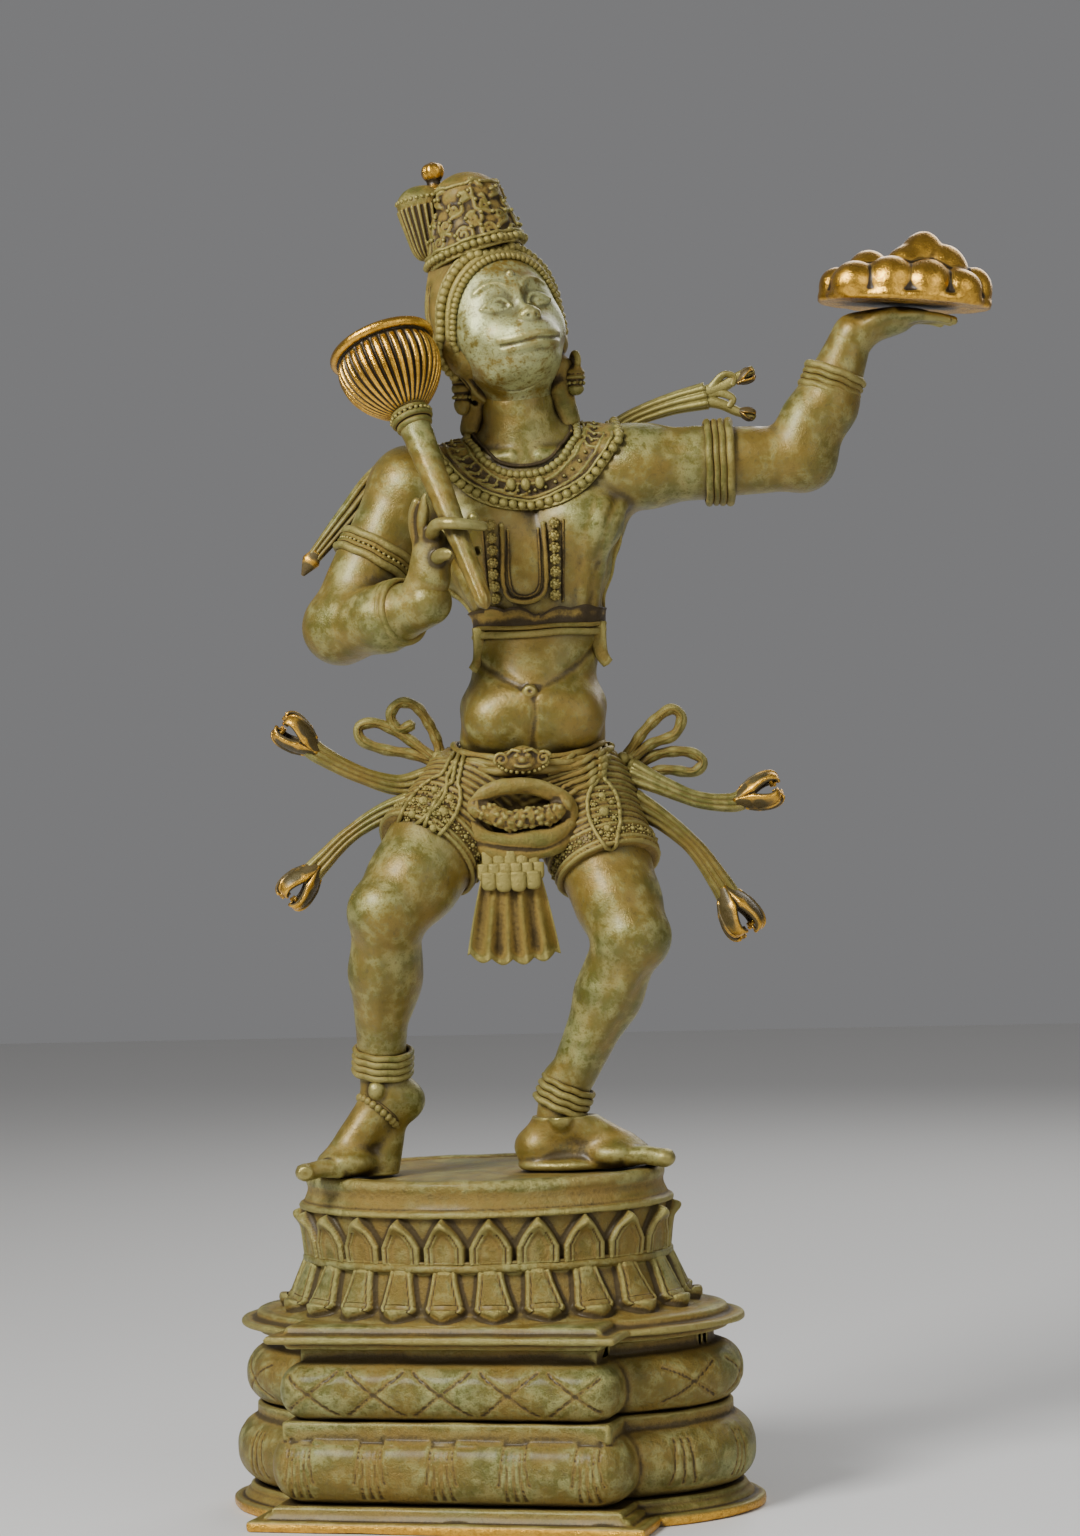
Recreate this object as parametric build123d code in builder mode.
from build123d import *

# Cast brass statue: a striding, monkey-faced guardian who lifts a mountain on
# the left hand and rests a mace on the right shoulder, on a lotus over a
# moulded oval pedestal. Millimetres, +Z up, front towards -Y, origin at the
# centre of the open rim that the statue stands on.

import os
from itertools import pairwise
from math import asin, cos, degrees, dist, hypot, pi, radians, sin

# ---------------------------------------------------------------- driving sizes
FIGURE_YAW = 17  # degrees that the figure turns on its pedestal, towards +X
SEAM = 0.3  # by how much a joined limb is slimmer than the limb it grows from
MACE_PLAY = 0.5  # free gap between the mace shaft and the hand that holds it

# Pedestal mouldings: half width and half depth of the oval, then half width
# and reach of the straight panel that stands proud at the front and the back.
FLANGE = (125, 76, 92, 80)
FOOT = (117, 69, 81, 75)
LOWER_ROLL = (122, 74, 83.5, 79)
LOWER_NECK = (112, 66, 76, 72)
UPPER_ROLL = (117, 70, 79, 76)
UPPER_NECK = (110, 65, 74, 70)
CORNICE = (118.5, 72, 81, 78)
HOLLOW = (103, 57, 68, 63)
FLANGE_TOP, FOOT_TOP, LOWER_ROLL_TOP, LOWER_NECK_TOP = 5, 11, 43, 48
UPPER_ROLL_TOP, UPPER_NECK_TOP, CORNICE_EDGE, CORNICE_TOP = 74, 80, 84, 90

# Lotus: half width and half depth of its oval plan at each level.
LOTUS_FOOT = (97, 69)
LOTUS_WAIST = (84, 61)
LOTUS_RIM = (88, 65)
LOTUS_TABLE = (83, 61)
LOTUS_WALL = 6
WAIST_Z, BEAD_TOP_Z, RIM_Z, SHOULDER_Z, STAND_Z = 113, 117, 138, 149, 153
PETALS = 22
PETAL_WIDTH = 22.5
PETAL_DEPTH = 4


def fig(x, y, z):
    """A point given in the figure's own frame (x to its left, y behind it)."""
    return Vector(x, y, z).rotate(Axis.Z, FIGURE_YAW)


# Joints of the body, in the figure's frame, each with its radius.
NECK_BASE, CHIN_END = (fig(32, 2, 474), 17), (fig(31, 0, 508), 16)
SKULL, JAW = (fig(26, 2, 542), 28), (fig(33, -10, 523), 22)
MUZZLE, SNOUT = (fig(38, -20, 523), 16), (fig(42, -31, 522), 12)
LEFT_CHEST, LEFT_SHOULDER = (fig(60, 2, 464), 21), (fig(84, 1, 471), 19)
LEFT_CUFF, LEFT_ELBOW = (fig(133, -4, 470), 16), (fig(156, -5, 470), 15.2)
LEFT_WRIST = (fig(179, -5, 517), 10.5)
RIGHT_CHEST, RIGHT_SHOULDER = (fig(4, 2, 460), 21), (fig(-20, 1, 463), 20)
RIGHT_CUFF, RIGHT_ELBOW = (fig(-45, -6, 421), 17), (fig(-54, -11, 402), 16.5)
RIGHT_WRIST = (fig(-17, -44, 408), 11.5)
LEFT_HIP, LEFT_HEM = (fig(50, 0, 316), 29), (fig(61, -16, 290), 23)
LEFT_KNEE = (fig(71, -34, 257), 17)
LEFT_CALF, LEFT_ANKLE = (fig(58, -22, 229), 16.5), (fig(37, -18, 184), 10.5)
RIGHT_HIP, RIGHT_HEM = (fig(4, 0, 320), 28.5), (fig(-18, -19, 299), 24)
RIGHT_KNEE = (fig(-38, -38, 273), 18)
RIGHT_CALF, RIGHT_ANKLE = (fig(-40, -26, 246), 17.5), (fig(-44, -15, 200), 11.5)

# Mace: both ends of its axis and its radii.
MACE_TIP, MACE_NECK = fig(12, -74, 406), fig(-17.6, -43.4, 491)
SHAFT_TIP_RADIUS, SHAFT_NECK_RADIUS = 4, 7.5
GRIP_SHARE = 0.42  # where the hand holds it, as a share of the shaft's length

# Mountain: the slab that lies on the left palm.
MOUNTAIN = fig(207, -6, 538)
MOUNTAIN_HALF_WIDTH, MOUNTAIN_HALF_DEPTH, MOUNTAIN_SLAB = 40.5, 30, 5
MOUNTAIN_LEAN = 5  # degrees that its outer end hangs down


# ---------------------------------------------------------------- shared shapes
def figure_plane(origin, x_dir=(1, 0, 0), z_dir=(0, 0, 1)):
    """A sketch plane whose directions are given in the figure's frame."""
    return Plane(origin=origin, x_dir=fig(*x_dir), z_dir=fig(*z_dir))


def bone(start, end):
    """Adds the round cone that wraps two balls, each a centre and a radius."""
    (a, ra), (b, rb) = start, end
    along = (b - a).normalized()
    length = (b - a).length
    tilt = asin((ra - rb) / length)
    side = along.cross(Vector(0.13, 0.27, 0.95)).normalized()
    with BuildSketch(Plane(origin=a, x_dir=side, z_dir=side.cross(along))) as profile:
        with BuildLine():
            on_a = (ra * cos(tilt), ra * sin(tilt))
            on_b = (rb * cos(tilt), length + rb * sin(tilt))
            low, high = (tilt - pi / 2) / 2, (tilt + pi / 2) / 2
            ThreePointArc((0, -ra), (ra * cos(low), ra * sin(low)), on_a)
            Line(on_a, on_b)
            top = (0, length + rb)
            ThreePointArc(on_b, (rb * cos(high), length + rb * sin(high)), top)
            Line(top, (0, -ra))
        make_face()
    revolve(profile.sketch, axis=Axis(a, along))


def limb(*balls):
    """Adds a chain of bones; each bone is a hair slimmer than the one before."""
    for step, ((a, ra), (b, rb)) in enumerate(pairwise(balls)):
        slimmer = step * SEAM
        bone((a, ra - slimmer), (b, rb - slimmer))


def cord(radius, *points):
    """Adds a round cord along a smooth line through points of the figure's frame."""
    with BuildLine() as path:
        Spline(*(fig(*p) for p in points))
    start = Plane(origin=path.line @ 0, z_dir=path.line % 0)
    with BuildSketch(start) as section:
        Circle(radius)
    sweep(section.sketch, path=path.line)


def strand(*places):
    """Adds a chain of bones through (x, y, z, radius) places of the figure's frame."""
    limb(*((fig(x, y, z), radius) for x, y, z, radius in places))


def loop(centre, half_length, half_height, slope):
    """Adds a flat ribbon loop that stands upright and is turned by slope degrees."""
    face = figure_plane(fig(*centre), z_dir=(0, -1, 0))
    with BuildSketch(face) as ribbon:
        with Locations(Rotation(0, 0, slope)):
            Ellipse(half_length, half_height)
            Ellipse(half_length - 4, half_height - 4, mode=Mode.SUBTRACT)
    extrude(ribbon.sketch, amount=5, both=True)


def necklace(radius, centre, half_width, front, back, drop):
    """Adds a cord round the neck that hangs by drop at the front and is open behind."""
    x, y, z = centre
    line = []
    for turn in (radians(32 * i) for i in range(-5, 6)):
        ahead = cos(turn)
        reach = front if ahead > 0 else back
        fall = drop * ahead if ahead > 0 else 0.1 * drop * ahead
        line.append((x + half_width * sin(turn), y - reach * ahead, z - fall))
    cord(radius, *line)


def band(centre, along, radius, width):
    """Adds a bracelet round the direction along: a sleeve between two rims."""
    unit = along.normalized()
    for start, length, inset in ((-0.5, 0.35, 0), (-0.2, 0.4, 1), (0.15, 0.35, 0)):
        with Locations(Plane(origin=centre + unit * start * width, z_dir=unit)):
            Cylinder(radius - inset, length * width, align=(Align.CENTER, Align.CENTER, Align.MIN))


def ring(centre, along, radius, thickness):
    """Adds a plain ring round the direction along."""
    with Locations(Plane(origin=centre, z_dir=along)):
        Torus(radius, thickness)


def cut(*others):
    """Takes neighbouring pieces out of this one, so that they meet face to face."""
    for other in others:
        add(other.part, mode=Mode.SUBTRACT)


def plan(size):
    """Draws the pedestal's plan: an oval with a panel at the front and the back."""
    half_width, half_depth, panel_half_width, reach = size
    Ellipse(half_width, half_depth)
    Rectangle(2 * panel_half_width, 2 * reach)


def slab(size, bottom, top):
    """Adds a straight-sided slice of the pedestal."""
    with BuildSketch(Plane.XY.offset(bottom)) as outline:
        plan(size)
    extrude(outline.sketch, amount=top - bottom)


def roll(size, bottom, top):
    """Adds a full-round moulding: a rounded oval and a rounded bar across it."""
    half_width, half_depth, panel_half_width, reach = size
    round_off = 0.48 * (top - bottom)
    with BuildSketch(Plane.XY.offset(bottom)) as oval:
        Ellipse(half_width, half_depth)
    with BuildSketch(Plane.XY.offset(bottom)) as bar:
        RectangleRounded(2 * panel_half_width, 2 * reach, round_off + 2)
    for outline in (oval, bar):
        block = extrude(outline.sketch, amount=top - bottom, mode=Mode.PRIVATE).solid()
        rims = block.faces().filter_by(Axis.Z).edges()
        add(block.fillet(round_off, rims))


def hollow(bottom, top):
    """Opens the pedestal's inside."""
    with BuildSketch(Plane.XY.offset(bottom)) as outline:
        plan(HOLLOW)
    extrude(outline.sketch, amount=top - bottom, mode=Mode.SUBTRACT)


def oval_wall(levels, wall, cap=0):
    """Adds a hollow oval drum through (z, half width, half depth) levels."""
    top = levels[-1][0]
    for inset, mode in ((0, Mode.ADD), (wall, Mode.SUBTRACT)):
        rings = []
        for z, half_width, half_depth in levels:
            height = z - cap if inset and z == top else z
            with BuildSketch(Plane.XY.offset(height)) as outline:
                Ellipse(half_width - inset, half_depth - inset)
            rings.append(outline.sketch.face())
        loft(rings, ruled=True, mode=mode)


def oval_places(half_width, half_depth, count):
    """Evenly spaced places on an oval: (point, outward direction) pairs."""
    fine = 720
    angles = [2 * pi * i / fine for i in range(fine + 1)]
    corners = [(half_width * cos(a), half_depth * sin(a)) for a in angles]
    walked = [0.0]
    for p, q in pairwise(corners):
        walked.append(walked[-1] + dist(p, q))
    places = []
    for i in range(count):
        goal = (i + 0.5) / count * walked[-1]
        k = next(n for n, w in enumerate(walked) if w >= goal)
        x, y = corners[k]
        nx, ny = x / half_width**2, y / half_depth**2
        places.append((Vector(x, y), Vector(nx, ny) / hypot(nx, ny)))
    return places


def petal(base, outward, slope, height):
    """Adds one arched petal: a slab that stands on base and leans by slope degrees."""
    across = Vector(-outward.Y, outward.X, 0)
    up = Vector(0, 0, 1).rotate(Axis((0, 0, 0), across), slope)
    normal = across.cross(up)
    half = PETAL_WIDTH / 2
    with BuildSketch(Plane(origin=base - normal, x_dir=across, z_dir=normal)) as outline:
        with BuildLine():
            Polyline((-half, 0.55 * height), (-half, 0), (half, 0), (half, 0.55 * height))
            ThreePointArc((half, 0.55 * height), (0.62 * half, 0.83 * height), (0, height))
            ThreePointArc((0, height), (-0.62 * half, 0.83 * height), (-half, 0.55 * height))
        make_face()
    extrude(outline.sketch, amount=PETAL_DEPTH)


# ---------------------------------------------------------------- pedestal
with BuildPart() as base_flange:
    slab(FLANGE, 0, FLANGE_TOP)
    slab(FOOT, FLANGE_TOP, FOOT_TOP)
    hollow(0, FOOT_TOP)

with BuildPart() as lower_moulding:
    roll(LOWER_ROLL, FOOT_TOP, LOWER_ROLL_TOP)
    slab(LOWER_NECK, FOOT_TOP, LOWER_NECK_TOP)
    hollow(FOOT_TOP, LOWER_NECK_TOP)

with BuildPart() as upper_moulding:
    roll(UPPER_ROLL, LOWER_NECK_TOP, UPPER_ROLL_TOP)
    slab(UPPER_NECK, LOWER_NECK_TOP, UPPER_NECK_TOP)
    hollow(LOWER_NECK_TOP, UPPER_NECK_TOP)

lotus_hollow = (LOTUS_FOOT[0] - LOTUS_WALL, LOTUS_FOOT[1] - LOTUS_WALL)
with BuildPart() as cornice:
    slab(CORNICE, UPPER_NECK_TOP, CORNICE_EDGE)
    with BuildSketch(Plane.XY.offset(CORNICE_EDGE)):
        Ellipse(CORNICE[0] - 3, CORNICE[1] - 1)
    with BuildSketch(Plane.XY.offset(CORNICE_TOP)):
        Ellipse(LOTUS_FOOT[0] + 4, LOTUS_FOOT[1])
    loft(ruled=True)
    with BuildSketch(Plane.XY.offset(UPPER_NECK_TOP)):
        Ellipse(*lotus_hollow)
    extrude(amount=CORNICE_TOP - UPPER_NECK_TOP, mode=Mode.SUBTRACT)

# ---------------------------------------------------------------- lotus
with BuildPart() as lotus_lower:
    oval_wall([(CORNICE_TOP, *LOTUS_FOOT), (WAIST_Z, *LOTUS_WAIST)], LOTUS_WALL)

with BuildPart() as lotus_bead_ring:
    bead = (LOTUS_WAIST[0] + 2, LOTUS_WAIST[1] + 2)
    oval_wall([(WAIST_Z, *bead), (BEAD_TOP_Z, *bead)], LOTUS_WALL + 2)

with BuildPart() as lotus_upper:
    oval_wall([(BEAD_TOP_Z, *LOTUS_WAIST), (RIM_Z, *LOTUS_RIM)], LOTUS_WALL)

with BuildPart() as lotus_top:
    levels = [(RIM_Z, *LOTUS_RIM), (SHOULDER_Z, *LOTUS_TABLE), (STAND_Z, *LOTUS_TABLE)]
    oval_wall(levels, LOTUS_WALL, cap=LOTUS_WALL - 1)

lower_slope = 180 + degrees(asin((LOTUS_FOOT[0] - LOTUS_WAIST[0]) / (WAIST_Z - CORNICE_TOP)))
upper_slope = degrees(asin((LOTUS_RIM[0] - LOTUS_WAIST[0]) / (RIM_Z - BEAD_TOP_Z)))
with BuildPart() as lotus_lower_petals:
    for spot, outward in oval_places(*LOTUS_WAIST, PETALS):
        hanging = Vector(spot.X, spot.Y, WAIST_Z - 1)
        petal(hanging, -1 * outward, lower_slope, WAIST_Z - CORNICE_TOP - 1)
    cut(lotus_lower, lotus_bead_ring, cornice)

with BuildPart() as lotus_upper_petals:
    for spot, outward in oval_places(*LOTUS_WAIST, PETALS):
        standing = Vector(spot.X, spot.Y, BEAD_TOP_Z)
        petal(standing, outward, upper_slope, RIM_Z - BEAD_TOP_Z + 1)
    cut(lotus_upper, lotus_bead_ring, lotus_top)

# ---------------------------------------------------------------- body
TORSO_LEVELS = [  # height, centre to the side, half width, half depth
    (343, 30, 34, 23),
    (366, 32, 36, 26),
    (398, 36, 29, 22),
    (430, 34, 38, 25),
    (456, 32, 42, 25),
    (474, 32, 30, 19),
]
with BuildPart() as torso:
    for z, x, half_width, half_depth in TORSO_LEVELS:
        with BuildSketch(figure_plane(fig(x, 1, z))):
            Ellipse(half_width, half_depth)
    loft()
    limb(LEFT_CHEST, LEFT_SHOULDER, LEFT_CUFF)
    limb(RIGHT_CHEST, RIGHT_SHOULDER, RIGHT_CUFF)

with BuildPart() as head:
    bone(NECK_BASE, CHIN_END)
    limb(SKULL, JAW, MUZZLE, SNOUT)
    cut(torso)

with BuildPart() as left_arm:
    limb((LEFT_CUFF[0], LEFT_CUFF[1] - 2 * SEAM), LEFT_ELBOW, LEFT_WRIST)
    cut(torso)

with BuildPart() as right_arm:
    limb((RIGHT_CUFF[0], RIGHT_CUFF[1] - 2 * SEAM), RIGHT_ELBOW, RIGHT_WRIST)
    cut(torso)

with BuildPart() as dhoti:
    bone((fig(18, 1, 321), 27.5), (fig(36, 1, 320), 27))
    bone(RIGHT_HIP, RIGHT_HEM)
    bone(LEFT_HIP, LEFT_HEM)
    cut(torso)

with BuildPart() as right_leg:
    limb((RIGHT_HEM[0], RIGHT_HEM[1] - 1.5), RIGHT_KNEE, RIGHT_CALF, RIGHT_ANKLE)
    cut(dhoti)

with BuildPart() as left_leg:
    limb((LEFT_HEM[0], LEFT_HEM[1] - 1.5), LEFT_KNEE, LEFT_CALF, LEFT_ANKLE)
    cut(dhoti)

with BuildPart() as right_foot:
    bone((fig(-40, -14, 188), 10), (fig(-61, -21, 164), 9))
    bone((fig(-59, -20, 162), 9.5), (fig(-78, -26, 160), 5.8))
    with BuildSketch(Plane.XY.offset(STAND_Z)):
        Circle(200)
    extrude(amount=-40, mode=Mode.SUBTRACT)
    cut(right_leg, lotus_top)

with BuildPart() as heel_prop:
    bone((fig(-40, -12, 181), 7), (fig(-48, -14, 152), 10))
    cut(right_foot, right_leg, lotus_top)
    with BuildSketch(Plane.XY.offset(STAND_Z)):
        Circle(200)
    extrude(amount=-40, mode=Mode.SUBTRACT)

with BuildPart() as left_foot:
    bone((fig(28, -18, 166), 12.5), (fig(60, -24, 161), 10))
    bone((fig(58, -24, 160), 9.5), (fig(78, -29, 158), 6.5))
    with BuildSketch(Plane.XY.offset(STAND_Z)):
        Circle(200)
    extrude(amount=-40, mode=Mode.SUBTRACT)
    cut(left_leg, lotus_top)

# ---------------------------------------------------------------- mace
mace_axis = (MACE_NECK - MACE_TIP).normalized()
shaft_length = (MACE_NECK - MACE_TIP).length
grip = MACE_TIP + mace_axis * shaft_length * GRIP_SHARE


def shaft(extra, overrun):
    """Adds the mace's tapered shaft, thickened by extra and run past both ends."""
    with Locations(Plane(origin=MACE_TIP - mace_axis * overrun, z_dir=mace_axis)):
        Cone(
            SHAFT_TIP_RADIUS + extra,
            SHAFT_NECK_RADIUS + extra,
            shaft_length + 2 * overrun,
            align=(Align.CENTER, Align.CENTER, Align.MIN),
        )


with BuildPart() as mace_shaft:
    shaft(0, 0)

with BuildPart() as mace_collar:
    with Locations(Plane(origin=MACE_NECK, z_dir=mace_axis)):
        Cylinder(SHAFT_NECK_RADIUS + 1.5, 4, align=(Align.CENTER, Align.CENTER, Align.MIN))

MACE_HEAD_LEVELS = [(4, 8.5), (8, 15), (16, 21.5), (26, 25), (34, 23), (38, 12)]
with BuildPart() as mace_head:
    for along, radius in MACE_HEAD_LEVELS:
        with BuildSketch(Plane(origin=MACE_NECK + mace_axis * along, z_dir=mace_axis)):
            Circle(radius)
    loft()

with BuildPart() as right_hand:
    limb((fig(-15, -45, 410), 10), (fig(-9, -52, 428), 10), (fig(-9, -54, 438), 8))
    ring(grip, mace_axis, SHAFT_TIP_RADIUS + 7.4, 3.3)
    bone((fig(-12, -60, 438), 3.4), (fig(-11, -67, 459), 2.6))
    bone((fig(-17, -55, 430), 3.6), (fig(-17, -58, 448), 2.8))
    with Locations(Plane(origin=MACE_TIP - mace_axis * 10, z_dir=mace_axis)):
        Cone(
            SHAFT_TIP_RADIUS + MACE_PLAY,
            SHAFT_NECK_RADIUS + MACE_PLAY,
            shaft_length + 10,
            align=(Align.CENTER, Align.CENTER, Align.MIN),
            mode=Mode.SUBTRACT,
        )
    cut(right_arm, torso)

# ---------------------------------------------------------------- mountain
lean = sin(radians(MOUNTAIN_LEAN))
slab_plane = figure_plane(MOUNTAIN, x_dir=(1, 0, -lean), z_dir=(lean, 0, 1))
with BuildPart() as mountain_slab:
    with BuildSketch(slab_plane):
        Ellipse(MOUNTAIN_HALF_WIDTH, MOUNTAIN_HALF_DEPTH)
    extrude(amount=MOUNTAIN_SLAB)

PEAKS = [  # along, across, height above the slab, radius
    (3, 3, 17, 13),
    (-13, 10, 9, 12),
    (19, 10, 9, 12),
    (-26, 0, 3, 11),
    (-12, -13, 5, 11),
    (6, -14, 7, 12),
    (22, -9, 8, 11),
    (29, 3, 4, 10),
    (3, 17, 4, 12),
]
with BuildPart() as mountain_peaks:
    for along, across, height, radius in PEAKS:
        foot = slab_plane.from_local_coords((along, across, MOUNTAIN_SLAB))
        bone((foot, radius), (foot + slab_plane.z_dir * height, radius - 0.35 * height))
    cut(mountain_slab)
    with BuildSketch(slab_plane):
        Circle(100)
    extrude(amount=-60, mode=Mode.SUBTRACT)

with BuildPart() as left_hand:
    limb((fig(181, -5, 521), 9), (fig(196, -5, 530), 7), (fig(226, -6, 529), 4.5))
    cut(left_arm, mountain_slab, mountain_peaks)

# ---------------------------------------------------------------- head dress
with BuildPart() as crown:
    bone((fig(20, 3, 561), 27), (fig(7, 6, 587), 19))
    cut(head)

with BuildPart() as crown_bun:
    bone((fig(-4, 12, 580), 14), (fig(-7, 12, 588), 12))
    cut(crown, head)

with BuildPart() as crown_finial:
    bone((fig(-5, 9, 600), 4.5), (fig(-5, 9, 609), 4))
    cut(crown, crown_bun)

with BuildPart() as tiara:
    ring(fig(23, 0, 555), fig(-0.28, 0.3, 0.9), 28, 3.5)
    cut(head, crown, crown_bun)

with BuildPart() as right_earring:
    bone((fig(4, 0, 522), 5), (fig(4, -2, 502), 6.5))
    cut(head, torso)

with BuildPart() as left_earring:
    bone((fig(51, -4, 520), 5), (fig(57, -5, 508), 5.5))
    cut(head, torso)

# ---------------------------------------------------------------- jewellery
with BuildPart() as necklace_beads:
    necklace(3, (32, 0, 487), 26, 21, 19, 18)
    cut(torso, head)

with BuildPart() as collar:
    necklace(3.5, (32, 0, 487), 38, 27, 24, 34)
    cut(torso, head, necklace_beads)

with BuildPart() as garland:
    with BuildSketch(figure_plane(fig(34, -28, 427), z_dir=(0, -1, 0))):
        RectangleRounded(34, 40, 9)
        with Locations((0, 6)):
            Rectangle(20, 40, mode=Mode.SUBTRACT)
    extrude(amount=-14)
    cut(torso, collar)

with BuildPart() as chest_band:
    with BuildSketch(figure_plane(fig(36, 1, 394))):
        Ellipse(32, 25)
    extrude(amount=8)
    cut(torso)

with BuildPart() as left_armlet:
    band(fig(120, -3, 470.3), fig(1, -0.06, 0), 20.5, 11)
    cut(torso)

with BuildPart() as right_armlet:
    band(fig(-37.5, -4, 433), fig(-25, -7, -42), 21, 9)
    cut(torso)

with BuildPart() as left_bracelet:
    band(fig(173, -5, 504.5), fig(23, 0, 47), 15, 8)
    cut(left_arm)

with BuildPart() as right_bracelet:
    band(fig(-28, -34.3, 406.2), fig(37, -33, 6), 15.5, 9)
    cut(right_arm)

with BuildPart() as left_anklet:
    band(fig(38, -18.2, 186), fig(21, -4, 45), 14, 8)
    cut(left_leg)

with BuildPart() as right_anklet:
    band(fig(-43.5, -16, 204.5), fig(4, -11, 46), 15, 8)
    cut(right_leg)

with BuildPart() as foot_chain:
    band(fig(-47.5, -16.8, 180), fig(-21, -7, -24), 12.2, 4.5)
    cut(right_foot, heel_prop, right_leg)

# ---------------------------------------------------------------- cloth
with BuildPart() as girdle:
    with BuildSketch(figure_plane(fig(28, 1, 334))):
        Ellipse(39, 31)
    extrude(amount=10)
    cut(torso, dhoti)

with BuildPart() as buckle:
    bone((fig(17, -31, 338), 5.5), (fig(33, -31, 338), 6))
    cut(girdle, torso, dhoti)

with BuildPart() as front_loops:
    for z, half_width, half_height in ((322, 27, 11), (306, 29, 12)):
        with BuildSketch(figure_plane(fig(23, -42, z), z_dir=(0, -1, 0))):
            Ellipse(half_width, half_height)
            Ellipse(half_width - 7, half_height - 7, mode=Mode.SUBTRACT)
        extrude(amount=-9)
    with BuildSketch(figure_plane(fig(23, -39, 321), z_dir=(0, -1, 0))):
        RectangleRounded(44, 6, 2.9)
    extrude(amount=-16)
    cut(dhoti, torso, girdle, buckle)

with BuildPart() as apron:
    with BuildSketch(figure_plane(fig(18, -34, 246))):
        Ellipse(21, 4)
    with BuildSketch(figure_plane(fig(20, -30, 296))):
        Ellipse(13, 6)
    loft(ruled=True)
    cut(dhoti, front_loops, right_leg, left_leg)

with BuildPart() as right_scarf:
    strand((0, 20, 478, 4.6), (-20, 15, 480, 4.4), (-40, 6, 467, 4.6), (-56, 2, 447, 4))
    bone((fig(-56, 2, 447), 3.4), (fig(-70, 1, 429), 3))
    cut(torso, right_armlet)

with BuildPart() as left_scarf:
    strand((76, 12, 486, 4.4), (92, 12, 491, 4), (114, 10, 497, 3.6), (137, 8, 511, 4.4))
    bone((fig(112, 9, 495), 3.2), (fig(138, 8, 490.5), 3))
    cut(torso, left_armlet)

with BuildPart() as right_bow:
    loop((-21, 2, 355), 16, 7, 128)
    loop((-32, 4, 346), 19, 6.5, 165)
    cut(dhoti, girdle, torso)

with BuildPart() as left_bow:
    loop((79, 2, 351), 16, 7, 40)
    loop((88, 4, 335), 20, 6.5, 175)
    cut(dhoti, girdle, torso)

with BuildPart() as right_upper_tail:
    strand((-20, -4, 332, 5), (-40, -8, 331, 4.8), (-60, -10, 341, 4.5), (-78, -10, 352, 7.5))
    cut(dhoti)

with BuildPart() as right_lower_tail:
    strand((-28, -14, 318, 5), (-46, -14, 314, 4.8), (-64, -14, 300, 4.5), (-77, -14, 287, 7.5))
    cut(dhoti)

with BuildPart() as left_upper_tail:
    strand((74, -2, 329, 5), (92, -7, 322, 4.8), (114, -10, 315, 4.5), (133, -10, 319, 7.5))
    cut(dhoti, left_bow)

with BuildPart() as left_lower_tail:
    strand((75, -6, 314, 5), (94, -9, 304, 4.8), (109, -10, 284, 4.5), (120, -10, 262, 8.5))
    cut(dhoti)

with BuildPart() as monkey_tail:
    strand((30, 24, 316, 6), (24, 36, 344, 5.6), (33, 33, 382, 5.2), (38, 34, 420, 4.8))
    strand((38, 34, 420, 4.9), (30, 36, 446, 4.5), (15, 36, 449, 4.2), (14, 36, 436, 4.6))
    cut(dhoti, torso, girdle)

# ---------------------------------------------------------------- write
pieces = {
    "base_flange": base_flange,
    "lower_moulding": lower_moulding,
    "upper_moulding": upper_moulding,
    "cornice": cornice,
    "lotus_lower": lotus_lower,
    "lotus_lower_petals": lotus_lower_petals,
    "lotus_bead_ring": lotus_bead_ring,
    "lotus_upper": lotus_upper,
    "lotus_upper_petals": lotus_upper_petals,
    "lotus_top": lotus_top,
    "torso": torso,
    "head": head,
    "left_arm": left_arm,
    "right_arm": right_arm,
    "dhoti": dhoti,
    "right_leg": right_leg,
    "left_leg": left_leg,
    "right_foot": right_foot,
    "heel_prop": heel_prop,
    "left_foot": left_foot,
    "mace_shaft": mace_shaft,
    "mace_collar": mace_collar,
    "mace_head": mace_head,
    "right_hand": right_hand,
    "mountain_slab": mountain_slab,
    "mountain_peaks": mountain_peaks,
    "left_hand": left_hand,
    "crown": crown,
    "crown_bun": crown_bun,
    "crown_finial": crown_finial,
    "tiara": tiara,
    "right_earring": right_earring,
    "left_earring": left_earring,
    "necklace_beads": necklace_beads,
    "collar": collar,
    "garland": garland,
    "chest_band": chest_band,
    "left_armlet": left_armlet,
    "right_armlet": right_armlet,
    "left_bracelet": left_bracelet,
    "right_bracelet": right_bracelet,
    "left_anklet": left_anklet,
    "right_anklet": right_anklet,
    "foot_chain": foot_chain,
    "girdle": girdle,
    "buckle": buckle,
    "front_loops": front_loops,
    "apron": apron,
    "right_scarf": right_scarf,
    "left_scarf": left_scarf,
    "right_bow": right_bow,
    "left_bow": left_bow,
    "right_upper_tail": right_upper_tail,
    "right_lower_tail": right_lower_tail,
    "left_upper_tail": left_upper_tail,
    "left_lower_tail": left_lower_tail,
    "monkey_tail": monkey_tail,
}
os.makedirs("parts", exist_ok=True)
for name, piece in pieces.items():
    piece.part.label = name
    export_step(piece.part, f"parts/{name}.step")
